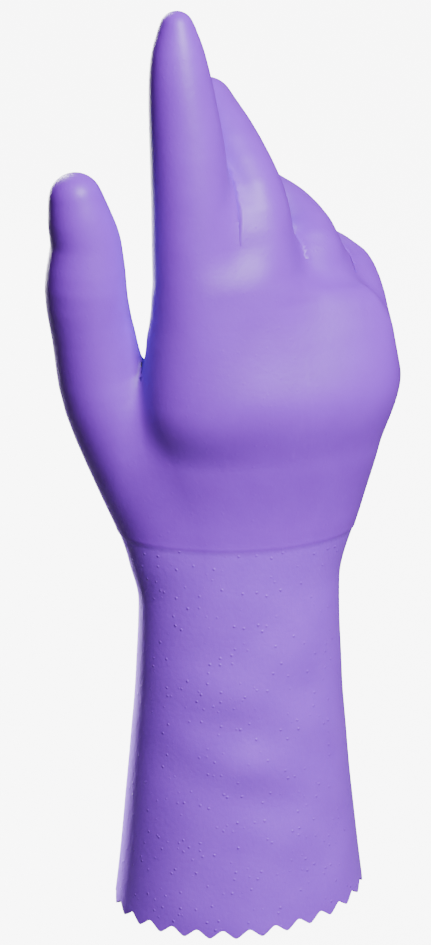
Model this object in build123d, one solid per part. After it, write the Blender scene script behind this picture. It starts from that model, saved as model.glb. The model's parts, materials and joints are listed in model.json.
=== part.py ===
from build123d import *
import math
import os
from dataclasses import dataclass

# A right-hand household glove of rubber dipped over a knitted liner, in millimetres.
# The glove stands on its pinked cuff edge with its fingers up: +Z runs from the cuff to the
# fingers, +X from the thumb side to the little finger side, and +Y from the back of the hand to
# the palm. The origin is the centre of the hand opening, in the plane of the pinked tips.
# The wall is three plies: liner, base coat and, from the wrist up, a second coat.
# The plies are seamless on the glove. They are divided here where they bend, so each stretch can
# turn, and a soft sleeve, the bend zone, fills every division.

# --- Wall ---------------------------------------------------------------------------------------
LINER = 0.50  # knitted liner
BASE_COAT = 0.50  # full-length rubber dip
SECOND_COAT = 0.25  # second dip, over the hand only
PLY_GAP = 0.05  # clearance between neighbouring plies
BODY_GAP = 0.30  # clearance between a bend zone and the stretches on either side of it
CUT_OVER = 1.0  # how far an inner cutter runs past an open end
FAR = 500.0  # side of a block that cuts everything beyond a plane
MIN_SPACING = 4.0  # nearest that two cross-sections of one stretch may lie

# --- Lengths along the hand ---------------------------------------------------------------------
CUFF_LENGTH = 120.0  # cuff rim to the wrist bend
HAND_LENGTH = 78.0  # wrist bend to the knuckle bend
FLARE_HEIGHT = 25.0  # rim to the top of the flare
FOREARM_HEIGHT = 52.0  # rim to the middle of the cuff
HEEL_RISE = 29.0  # wrist bend to the heel of the palm
MID_PALM_RISE = 51.0  # wrist bend to the middle of the palm
WEB_RISE = 24.0  # knuckle bend to the top of the webs between the fingers
SECOND_COAT_RISE = 21.5  # wrist bend to the edge of the second coat

KNUCKLE_TILT = 15.0  # slope of the knuckle line in degrees, its index finger end up

# --- Bends: half the length of each bend zone, measured from its axis ---------------------------
WRIST_REACH = 17.0
KNUCKLE_REACH = 11.0
THUMB_REACH = 8.0
THUMB_TIP_REACH = 7.0

# --- Pinked edge --------------------------------------------------------------------------------
TOOTH_COUNT = 28
TOOTH_DEPTH = 3.0
TOOTH_TIP = 1.4  # width of the blunt tip of a tooth
NOTCH_REACH = 6.0  # how far a notch cutter runs to each side of the wall
RIM_STEPS = 720  # points that the rim's outline is walked in, to space the teeth evenly


@dataclass
class Oval:
    """A level cross-section of the cuff and palm: its height, centre and full width and depth."""

    height: float
    x: float
    y: float
    width: float
    depth: float


@dataclass
class Ring:
    """A round cross-section of a digit: its centre and its outer radius."""

    x: float
    y: float
    z: float
    radius: float

    def centre(self):
        return Vector(self.x, self.y, self.z)


@dataclass
class Finger:
    """A finger: its root in the palm, its middle-joint bend, its tip and the bend zone's reach."""

    name: str
    root: Ring
    bend: Ring
    tip: Ring
    reach: float


WRIST_Z = CUFF_LENGTH
KNUCKLE_Z = CUFF_LENGTH + HAND_LENGTH

# --- Cuff and palm sections, from the rim up ----------------------------------------------------
RIM = Oval(0.0, 0.0, 0.0, 92.0, 76.0)
FLARE = Oval(FLARE_HEIGHT, -0.2, 0.0, 86.0, 69.0)
FOREARM = Oval(FOREARM_HEIGHT, -0.5, 0.0, 80.5, 63.0)
LOW_WRIST = Oval(WRIST_Z - WRIST_REACH, -0.5, 0.0, 72.4, 54.0)
WRIST = Oval(WRIST_Z, -0.4, 0.5, 71.2, 50.5)
HEEL = Oval(WRIST_Z + HEEL_RISE, 4.0, -1.0, 77.0, 44.0)
MID_PALM = Oval(WRIST_Z + MID_PALM_RISE, 7.0, -3.0, 80.0, 39.0)
KNUCKLES = Oval(KNUCKLE_Z, 11.4, -3.5, 83.6, 37.0)
WEBS = Oval(KNUCKLE_Z + WEB_RISE, 10.5, 0.0, 76.0, 27.0)
OVALS = [RIM, FLARE, FOREARM, LOW_WRIST, WRIST, HEEL, MID_PALM, KNUCKLES, WEBS]

# --- Digits, hung from the wrist and knuckle heights --------------------------------------------
K = KNUCKLE_Z
W = WRIST_Z
INDEX = Finger(
    name="index",
    root=Ring(-20.3, -9.0, K - 6, 13.0),
    bend=Ring(-18.8, -4.0, K + 66, 12.2),
    tip=Ring(-21.5, 1.2, K + 115, 7.2),
    reach=11.0,
)
MIDDLE = Finger(
    name="middle",
    root=Ring(1.8, -11.0, K - 4, 13.0),
    bend=Ring(5.2, 1.0, K + 54, 11.4),
    tip=Ring(-2.6, 30.0, K + 83, 8.4),
    reach=11.0,
)
RING_FINGER = Finger(
    name="ring",
    root=Ring(23.3, -6.0, K - 6, 12.4),
    bend=Ring(26.6, 13.0, K + 38, 10.4),
    tip=Ring(18.0, 47.0, K + 45, 8.0),
    reach=10.5,
)
LITTLE = Finger(
    name="little",
    root=Ring(44.4, 2.0, K - 3, 11.8),
    bend=Ring(44.2, 24.5, K + 26, 9.7),
    tip=Ring(33.0, 59.0, K + 20, 7.2),
    reach=10.0,
)
FINGERS = [INDEX, MIDDLE, RING_FINGER, LITTLE]
THUMB_HEEL = Ring(-20.0, 4, W + 28, 15.5)
THUMB_BALL = Ring(-38.5, 7, W + 54, 16.2)
THUMB_NECK = Ring(-47.5, 8, W + 74, 14.3)
THUMB_ROOT = Ring(-50.5, 8, W + 92, 13.4)
THUMB_BEND = Ring(-51.9, 7, W + 113, 13.2)
THUMB_TIP = Ring(-54.0, 6, W + 138, 8.8)

# --- Insets of each ply's outer and inner face from the glove's outer face ----------------------
SECOND_OUT = 0.0
SECOND_IN = SECOND_OUT + SECOND_COAT
BASE_OUT = SECOND_IN + PLY_GAP
BASE_IN = BASE_OUT + BASE_COAT
LINER_OUT = BASE_IN + PLY_GAP
LINER_IN = LINER_OUT + LINER
PLIES = {
    "second_coat": (SECOND_OUT, SECOND_IN),
    "base_coat": (BASE_OUT, BASE_IN),
    "liner": (LINER_OUT, LINER_IN),
}


def oval_at(height):
    """The cross-section at a height, in straight proportion between the sections around it."""
    for low, high in zip(OVALS, OVALS[1:]):
        if height <= high.height:
            break
    share = (height - low.height) / (high.height - low.height)

    def mix(name):
        return getattr(low, name) + (getattr(high, name) - getattr(low, name)) * share

    return Oval(height, mix("x"), mix("y"), mix("width"), mix("depth"))


def oval_face(oval, inset):
    """A level ellipse, drawn in from the oval by the inset."""
    place = Pos(oval.x, oval.y, oval.height)
    return place * Ellipse(oval.width / 2 - inset, oval.depth / 2 - inset)


def beyond(origin, direction):
    """A large block on the far side of the plane through origin, square to the direction."""
    plane = Plane(origin=tuple(origin), z_dir=tuple(direction))
    block = Box(FAR, FAR, FAR, align=(Align.CENTER, Align.CENTER, Align.MIN))
    return plane.location * block


def oval_tube(low, high, inset, over):
    """The solid inside the cuff and palm from one height to another, or run past both by over.

    It is always drawn through the same heights, so that the faces of the plies run side by side.
    """
    between = [oval for oval in OVALS if low + MIN_SPACING < oval.height < high - MIN_SPACING]
    sections = [oval_at(low - CUT_OVER)] + between + [oval_at(high + CUT_OVER)]
    tube = loft([oval_face(oval, inset) for oval in sections])
    if over:
        return tube
    return tube - beyond((0, 0, high), (0, 0, 1)) - beyond((0, 0, low), (0, 0, -1))


def hand_tube(inset):
    """The solid inside the palm and the webs of the fingers, before any end is cut."""
    return oval_tube(WRIST_Z + WRIST_REACH, WEBS.height, inset, CUT_OVER)


def past_knuckles(distance, side):
    """A block that cuts what lies past a plane, a distance above the sloping knuckle line."""
    tilt = math.radians(KNUCKLE_TILT)
    upward = Vector(math.sin(tilt), 0, math.cos(tilt))
    origin = Vector(KNUCKLES.x, KNUCKLES.y, KNUCKLES.height) + upward * distance
    return beyond(origin, upward * side)


def along(start, end, distance):
    """The ring at a distance along the line from one ring to the next."""
    run = end.centre() - start.centre()
    share = distance / run.length
    centre = start.centre() + run * share
    radius = start.radius + (end.radius - start.radius) * share
    return Ring(centre.X, centre.Y, centre.Z, radius)


def length_between(start, end):
    return (end.centre() - start.centre()).length


def cone(start, end, inset, start_over=0.0, end_over=0.0):
    """The tapered solid between two rings, drawn in by the inset and run past its ends."""
    first = along(start, end, -start_over)
    last = along(start, end, length_between(start, end) + end_over)
    plane = Plane(origin=tuple(first.centre()), z_dir=tuple(last.centre() - first.centre()))
    return Solid.make_cone(first.radius - inset, last.radius - inset, length_between(first, last), plane)


def thimble(start, tip, inset, start_over=0.0):
    """The tapered solid from a ring to a tip, closed by a round end about the tip's centre."""
    first = along(start, tip, -start_over)
    length = length_between(first, tip)
    wide = first.radius - inset
    narrow = tip.radius - inset
    shoulder = narrow * math.cos(math.pi / 4)
    side = Line((wide, 0, 0), (narrow, 0, length))
    crown = ThreePointArc((narrow, 0, length), (shoulder, 0, length + shoulder), (0, 0, length + narrow))
    axis = Line((0, 0, length + narrow), (0, 0, 0))
    foot = Line((0, 0, 0), (wide, 0, 0))
    turned = revolve(make_face([side, crown, axis, foot]), axis=Axis.Z)
    plane = Plane(origin=tuple(first.centre()), z_dir=tuple(tip.centre() - first.centre()))
    return plane.location * turned


def ring_face(ring, direction, inset):
    """A disc on a ring, square to a direction and drawn in by the inset."""
    return Plane(origin=tuple(ring.centre()), z_dir=tuple(direction)) * Circle(ring.radius - inset)


def ring_tube(rings, inset, over):
    """A smooth solid through several rings, each square to the way through it.

    It is always drawn past both ends and, unless it is to run over, cut back to them.
    """
    first = along(rings[0], rings[1], -CUT_OVER)
    last = along(rings[-2], rings[-1], length_between(rings[-2], rings[-1]) + CUT_OVER)
    line = [first] + rings[1:-1] + [last]
    faces = []
    for index, ring in enumerate(line):
        before = line[max(index - 1, 0)]
        after = line[min(index + 1, len(line) - 1)]
        faces.append(ring_face(ring, after.centre() - before.centre(), inset))
    tube = loft(faces)
    if over:
        return tube
    start_cut = beyond(rings[0].centre(), rings[0].centre() - rings[1].centre())
    end_cut = beyond(rings[-1].centre(), rings[-1].centre() - rings[-2].centre())
    return tube - start_cut - end_cut


def notch_wedge(width):
    """A bar of pointed section, lying along +X, that cuts one notch and clears the rim below it."""
    half = width / 2
    outline = [(-half, -CUT_OVER), (half, -CUT_OVER), (half, 0), (0, TOOTH_DEPTH), (-half, 0)]
    return extrude(Plane.YZ * Polygon(*outline, align=None), amount=NOTCH_REACH, both=True)


def cuff_notches():
    """Wedges that pink the rim: one between each pair of teeth, square to the rim's wall."""
    half_width = RIM.width / 2 - BASE_OUT
    half_depth = RIM.depth / 2 - BASE_OUT
    outline = []
    for step in range(RIM_STEPS):
        turn = 2 * math.pi * step / RIM_STEPS
        outline.append((half_width * math.cos(turn), half_depth * math.sin(turn)))
    lengths = [math.dist(a, b) for a, b in zip(outline, outline[1:] + outline[:1])]
    pitch = sum(lengths) / TOOTH_COUNT
    notch_width = pitch - TOOTH_TIP
    notches = []
    travelled = 0.0
    due = pitch / 2
    for (x, y), length in zip(outline, lengths):
        if travelled <= due < travelled + length:
            outward = math.degrees(math.atan2(y * half_width**2, x * half_depth**2))
            place = Pos(x, y, RIM.height) * Rot(0, 0, outward)
            notches.append(place * notch_wedge(notch_width))
            due += pitch
        travelled += length
    return notches


def shell(make, ply):
    """The wall of one ply: its outer solid less its inner one, which runs past the open ends."""
    outer_inset, inner_inset = PLIES[ply]
    return make(outer_inset, 0.0) - make(inner_inset, CUT_OVER)


def bend_sleeve(make):
    """The whole wall of a bend zone, all plies together."""
    return make(SECOND_OUT, 0.0) - make(LINER_IN, CUT_OVER)


def cuff_solid(inset, over):
    return oval_tube(RIM.height, WRIST_Z - WRIST_REACH, inset, over)


def build_cuff(parts):
    """The flared cuff: base coat and liner, both cut by the pinked rim."""
    notches = cuff_notches()
    for ply in ("base_coat", "liner"):
        parts[f"cuff_{ply}"] = shell(cuff_solid, ply) - notches


def wrist_zone(inset, over):
    low = WRIST_Z - WRIST_REACH + BODY_GAP
    high = WRIST_Z + WRIST_REACH - BODY_GAP
    return oval_tube(low, high, inset, over)


def thumb_base_rings():
    run = length_between(THUMB_NECK, THUMB_ROOT)
    return [THUMB_HEEL, THUMB_BALL, THUMB_NECK, along(THUMB_NECK, THUMB_ROOT, run - THUMB_REACH)]


def palm_solid(inset, over):
    """The palm with the ball of the thumb, from the wrist bend to the sloping knuckle bend."""
    palm = hand_tube(inset) - past_knuckles(over - KNUCKLE_REACH, 1)
    if not over:
        palm = palm - beyond((0, 0, WRIST_Z + WRIST_REACH), (0, 0, -1))
    return palm + ring_tube(thumb_base_rings(), inset, over)


def build_palm(parts):
    """The palm: the second coat starts a little above the other two plies."""
    for ply in PLIES:
        parts[f"palm_{ply}"] = shell(palm_solid, ply)
    below_edge = beyond((0, 0, WRIST_Z + SECOND_COAT_RISE), (0, 0, -1))
    parts["palm_second_coat"] = parts["palm_second_coat"] - below_edge


def knuckle_zone(inset, over):
    reach = KNUCKLE_REACH - BODY_GAP + over
    return hand_tube(inset) - past_knuckles(reach, 1) - past_knuckles(-reach, -1)


def finger_roots_solid(inset, over):
    """The webbed roots of the four fingers, from the knuckle bend to each finger's own bend."""
    solid = hand_tube(inset) - beyond((0, 0, WEBS.height - inset), (0, 0, 1))
    for finger in FINGERS:
        run = length_between(finger.root, finger.bend)
        end = along(finger.root, finger.bend, run - finger.reach)
        solid = solid + cone(finger.root, end, inset, end_over=over)
    return solid - past_knuckles(KNUCKLE_REACH - over, -1)


def build_finger_roots(parts):
    for ply in PLIES:
        parts[f"finger_roots_{ply}"] = shell(finger_roots_solid, ply)


def finger_solid(finger):
    """A maker of the free end of a finger, beyond its bend zone."""

    def make(inset, over):
        start = along(finger.bend, finger.tip, finger.reach)
        return thimble(start, finger.tip, inset, over)

    return make


def zone_solid(before, bend, after, reach):
    """A maker of the sleeve around a bend, from before it to beyond it."""
    run = length_between(before, bend)
    start = along(before, bend, run - reach + BODY_GAP)
    end = along(bend, after, reach - BODY_GAP)

    def make(inset, over):
        return ring_tube([start, bend, end], inset, over)

    return make


def build_fingers(parts):
    for finger in FINGERS:
        zone = zone_solid(finger.root, finger.bend, finger.tip, finger.reach)
        parts[f"{finger.name}_bend_zone"] = bend_sleeve(zone)
        for ply in PLIES:
            parts[f"{finger.name}_{ply}"] = shell(finger_solid(finger), ply)


def thumb_solid(inset, over):
    """The short stretch of the thumb between its two bends."""
    run = length_between(THUMB_ROOT, THUMB_BEND)
    start = along(THUMB_ROOT, THUMB_BEND, THUMB_REACH)
    end = along(THUMB_ROOT, THUMB_BEND, run - THUMB_TIP_REACH)
    return cone(start, end, inset, over, over)


def thumb_tip_solid(inset, over):
    start = along(THUMB_BEND, THUMB_TIP, THUMB_TIP_REACH)
    return thimble(start, THUMB_TIP, inset, over)


def build_thumb(parts):
    root_zone = zone_solid(THUMB_NECK, THUMB_ROOT, THUMB_BEND, THUMB_REACH)
    tip_zone = zone_solid(THUMB_ROOT, THUMB_BEND, THUMB_TIP, THUMB_TIP_REACH)
    parts["thumb_root_bend_zone"] = bend_sleeve(root_zone)
    parts["thumb_tip_bend_zone"] = bend_sleeve(tip_zone)
    for ply in PLIES:
        parts[f"thumb_{ply}"] = shell(thumb_solid, ply)
        parts[f"thumb_tip_{ply}"] = shell(thumb_tip_solid, ply)


def build_glove():
    """Every node of the glove, by name."""
    parts = {}
    build_cuff(parts)
    parts["wrist_bend_zone"] = bend_sleeve(wrist_zone)
    build_palm(parts)
    parts["knuckle_bend_zone"] = bend_sleeve(knuckle_zone)
    build_finger_roots(parts)
    build_fingers(parts)
    build_thumb(parts)
    return parts


os.makedirs("parts", exist_ok=True)
for node, solid in build_glove().items():
    export_step(solid, f"parts/{node}.step")
    print(node, round(solid.volume, 1), len(solid.solids()))
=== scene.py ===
"""The looks of a right-hand household rubber glove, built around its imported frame.

The glove's outside is one closed form, described by a field in millimetres that is negative
inside the glove and positive outside it. Every piece is a patch of that form with a wall, so
that neighbouring pieces meet without a step. Pieces are cut where the skin stops bending.
"""

import json
import logging
import math
from dataclasses import dataclass
from enum import Enum
from typing import Callable, Sequence

import bmesh
import bpy
import numpy as np
import openvdb
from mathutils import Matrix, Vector

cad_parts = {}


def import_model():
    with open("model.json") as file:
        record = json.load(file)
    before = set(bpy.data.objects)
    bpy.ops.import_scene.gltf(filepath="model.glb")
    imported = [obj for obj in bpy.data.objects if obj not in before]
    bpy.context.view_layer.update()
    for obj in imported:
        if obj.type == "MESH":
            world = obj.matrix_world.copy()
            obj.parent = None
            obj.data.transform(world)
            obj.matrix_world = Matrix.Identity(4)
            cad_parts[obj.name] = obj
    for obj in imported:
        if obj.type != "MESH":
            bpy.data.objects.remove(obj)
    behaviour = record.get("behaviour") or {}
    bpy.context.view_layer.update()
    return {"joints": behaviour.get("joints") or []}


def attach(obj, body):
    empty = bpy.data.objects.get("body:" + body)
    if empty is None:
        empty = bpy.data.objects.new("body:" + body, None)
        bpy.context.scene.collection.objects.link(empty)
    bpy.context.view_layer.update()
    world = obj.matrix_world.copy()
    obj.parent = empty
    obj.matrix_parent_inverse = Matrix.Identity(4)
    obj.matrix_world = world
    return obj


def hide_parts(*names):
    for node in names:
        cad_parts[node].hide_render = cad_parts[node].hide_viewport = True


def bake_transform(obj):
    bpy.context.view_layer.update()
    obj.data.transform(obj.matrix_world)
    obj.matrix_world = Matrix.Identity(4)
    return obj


Array = np.ndarray
Field = Callable[[Array], Array]
Point = tuple[float, float, float]

LOG = logging.getLogger("glove")
MM = 0.001
FINGER_NAMES = ("index", "middle", "ring", "little")


class Ply(Enum):
    """The plies of the wall, with how far each one's outer and inner face lie inside the form."""

    COATS = (0.0, 0.80)
    LINER = (0.85, 1.35)

    @property
    def outer(self) -> float:
        """Returns: the depth of the outer face in millimetres."""
        return self.value[0]

    @property
    def inner(self) -> float:
        """Returns: the depth of the inner face in millimetres."""
        return self.value[1]


# ---------------------------------------------------------------------------------------------
# The form
# ---------------------------------------------------------------------------------------------


def unit(vector: Sequence[float]) -> Array:
    """Returns: the vector as an array of length one."""
    array = np.asarray(vector, float)
    return array / np.linalg.norm(array)


def smooth_step(values: Array) -> Array:
    """Returns: 0 below 0, 1 above 1, and three squares less two cubes between."""
    t = np.clip(values, 0.0, 1.0)
    return t * t * (3.0 - 2.0 * t)


def fillet_height(a: Array, b: Array, reach: Array | float) -> Array:
    """How much a fillet takes off the smaller of two fields.

    It is a quarter of reach times the square of how near the fields are, as a share of reach.

    Args:
        a: the first field's values.
        b: the second field's values.
        reach: the difference below which they join smoothly, in millimetres.

    Returns:
        The fillet's height.
    """
    near = np.clip(reach - np.abs(a - b), 0.0, None) / reach
    return near * near * reach * 0.25


def soft_min(a: Array, b: Array, reach: Array | float) -> Array:
    """The smaller of two fields, with a fillet where they are closer than reach.

    Args:
        a: the first field's values.
        b: the second field's values.
        reach: the difference below which they join smoothly, in millimetres.

    Returns:
        The joined values.
    """
    return np.minimum(a, b) - fillet_height(a, b, reach)


def round_cone(points: Array, start: Array, end: Array, radius: float, end_radius: float) -> Array:
    """The distance to the tapered rod that wraps two balls.

    A point is measured to the nearer ball where it lies past that ball's tangent circle, and
    otherwise to the cone that touches both balls.

    Args:
        points: the places to measure, in millimetres.
        start: the first ball's centre.
        end: the second ball's centre.
        radius: the first ball's radius.
        end_radius: the second ball's radius.

    Returns:
        The signed distance at each point.
    """
    run = (end - start).astype(np.float32)
    length2 = float(run @ run)
    taper = radius - end_radius
    slope2 = length2 - taper * taper
    inverse = 1.0 / length2
    offset = points - start.astype(np.float32)
    along = offset @ run
    past = along - length2
    across = offset * length2 - along[..., None] * run
    across2 = (across * across).sum(-1)
    along2 = along * along * length2
    past2 = past * past * length2
    limit = math.copysign(1.0, taper) * taper * taper * across2
    distance = (np.sqrt(across2 * slope2 * inverse) + along * taper) * inverse - radius
    at_end = np.sign(past) * slope2 * past2 > limit
    at_start = ~at_end & (np.sign(along) * slope2 * along2 < limit)
    distance = np.where(at_end, np.sqrt(across2 + past2) * inverse - end_radius, distance)
    return np.where(at_start, np.sqrt(across2 + along2) * inverse - radius, distance)


def monotone(knots: Array, values: Array, where: Array) -> Array:
    """A smooth line through few values that never overshoots them.

    Between two knots it is the cubic that has, at each knot, the weighted harmonic mean of the
    slopes on either side, or no slope where they point opposite ways.

    Args:
        knots: the rising places of the values.
        values: the values to pass through.
        where: the places to read.

    Returns:
        The value at each place.
    """
    step = np.diff(knots)
    slope = np.diff(values) / step
    tangent = np.concatenate([slope[:1], np.zeros(len(slope) - 1), slope[-1:]])
    same_way = slope[:-1] * slope[1:] > 0
    before = 2 * step[1:] + step[:-1]
    after = step[1:] + 2 * step[:-1]
    safe = np.where(slope == 0, 1.0, slope)
    harmonic = (before + after) / (before / safe[:-1] + after / safe[1:])
    tangent[1:-1] = np.where(same_way, harmonic, 0.0)
    place = np.clip(where, knots[0], knots[-1])
    index = np.clip(np.searchsorted(knots, place) - 1, 0, len(step) - 1)
    t = (place - knots[index]) / step[index]
    rise = step[index]
    low = (1 + 2 * t) * (1 - t) ** 2 * values[index] + t * (1 - t) ** 2 * rise * tangent[index]
    high = t * t * (3 - 2 * t) * values[index + 1] + t * t * (t - 1) * rise * tangent[index + 1]
    return low + high


@dataclass(frozen=True)
class Oval:
    """A level section of the cuff and palm, in millimetres: height above the wrist, centre, half sizes."""

    rise: float
    x: float
    y: float
    half_width: float
    half_depth: float


@dataclass(frozen=True)
class Station:
    """A ball of a digit, in millimetres from the digit's bend."""

    x: float
    y: float
    z: float
    radius: float


OVALS = (
    Oval(-126.0, 0.0, 0.0, 47.0, 39.0),
    Oval(-120.0, 0.0, 0.0, 46.0, 38.0),
    Oval(-95.0, -0.2, 0.0, 43.0, 34.6),
    Oval(-70.0, -0.5, 0.0, 40.4, 31.6),
    Oval(-20.0, -0.5, 0.0, 36.4, 27.0),
    Oval(2.0, -0.4, 0.3, 35.8, 25.2),
    Oval(29.0, 3.8, -1.1, 38.4, 22.1),
    Oval(51.0, 6.6, -5.0, 40.6, 20.5),
    Oval(73.0, 8.8, -9.2, 41.4, 18.2),
    Oval(92.0, 9.9, -5.2, 40.6, 14.2),
    Oval(106.0, 9.0, -3.0, 35.5, 8.6),
)
INDEX = (
    Station(0.2, -6.5, -72.0, 13.0),
    Station(0.6, -2.6, -28.0, 13.3),
    Station(0.4, 0.0, 0.0, 12.9),
    Station(-1.5, 3.0, 28.0, 11.0),
    Station(-2.4, 4.6, 41.5, 9.0),
    Station(-2.7, 5.4, 51.7, 5.6),
)
MIDDLE = (
    Station(-3.2, -12.5, -58.0, 13.0),
    Station(-0.6, -4.6, -17.0, 12.8),
    Station(-0.8, 0.0, 0.0, 12.2),
    Station(-5.6, 13.5, 18.5, 11.2),
    Station(-11.0, 29.0, 32.4, 9.2),
)
RING = (
    Station(-3.0, -19.0, -44.0, 12.4),
    Station(0.0, -5.6, -10.0, 11.2),
    Station(0.0, 0.0, 0.6, 10.8),
    Station(-3.6, 18.0, 8.4, 10.0),
    Station(-7.6, 34.0, 11.0, 9.0),
)
LITTLE = (
    Station(-0.6, -22.0, -30.0, 12.4),
    Station(-0.6, -8.0, -8.0, 11.0),
    Station(-2.3, 0.0, 1.4, 9.7),
    Station(-4.6, 18.5, 2.2, 9.0),
    Station(-11.2, 34.5, -6.0, 7.2),
)
THUMB = (
    Station(27.3, -4.0, -75.0, 15.8),
    Station(13.4, -1.0, -39.0, 16.8),
    Station(3.5, 0.0, -15.0, 14.6),
    Station(1.1, 0.0, 0.0, 13.9),
    Station(-1.3, -1.0, 17.5, 13.7),
    Station(-1.0, -1.2, 30.5, 12.0),
    Station(-2.9, -1.8, 40.0, 10.7),
    Station(-4.4, -2.2, 47.8, 8.9),
)


class Digit:
    """One finger or the thumb: a smooth row of balls, and the bend about which it turns."""

    RODS_PER_STATION = 3
    NEAR = 24.0

    def __init__(self, name: str, bend: Array, stations: tuple[Station, ...]) -> None:
        """Args: name, bend: where it turns, in millimetres. stations: its balls, from the root."""
        self.name = name
        self.bend = bend
        self.centres = np.array([[s.x, s.y, s.z] for s in stations]) + bend
        self.radii = np.array([s.radius for s in stations])
        self.balls, self.sizes = self.line(self.RODS_PER_STATION * (len(stations) - 1) + 1)
        self.low = (self.balls - self.sizes[:, None]).min(0)
        self.high = (self.balls + self.sizes[:, None]).max(0)

    def line(self, count: int) -> tuple[Array, Array]:
        """Args: count: how many points. Returns: points along the centre line, and the radius at each."""
        lengths = np.linalg.norm(np.diff(self.centres, axis=0), axis=1)
        knots = np.concatenate([[0.0], np.cumsum(lengths)])
        where = np.interp(np.linspace(0, len(knots) - 1, count), np.arange(len(knots)), knots)
        columns = [monotone(knots, self.centres[:, axis], where) for axis in range(3)]
        return np.stack(columns, -1), monotone(knots, self.radii, where)

    def field(self, points: Array) -> Array:
        """The distance to the digit: a row of tapered rods, or further off the distance to its box.

        Args:
            points: places in millimetres.

        Returns:
            The field there.
        """
        flat = points.reshape(-1, 3)
        outside = np.maximum(np.maximum(self.low - flat, flat - self.high), 0.0)
        total = np.linalg.norm(outside, axis=1) + 2.0
        near = total < self.NEAR
        if near.any():
            total[near] = self.near_field(flat[near])
        return total.reshape(points.shape[:-1])

    def near_field(self, points: Array) -> Array:
        """Args: points: places near the digit. Returns: the distance to its row of tapered rods."""
        balls = list(zip(self.balls, self.sizes))
        rods = [round_cone(points, a, b, r, s) for (a, r), (b, s) in zip(balls, balls[1:])]
        return np.minimum.reduce(rods)


@dataclass(frozen=True)
class Plane:
    """A cut: a point of it in millimetres and the way it faces."""

    point: Point
    facing: Point

    def height(self, points: Array) -> Array:
        """Args: points: places. Returns: how far each lies on the side that the plane faces."""
        return (points - np.array(self.point)) @ unit(self.facing)


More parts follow.
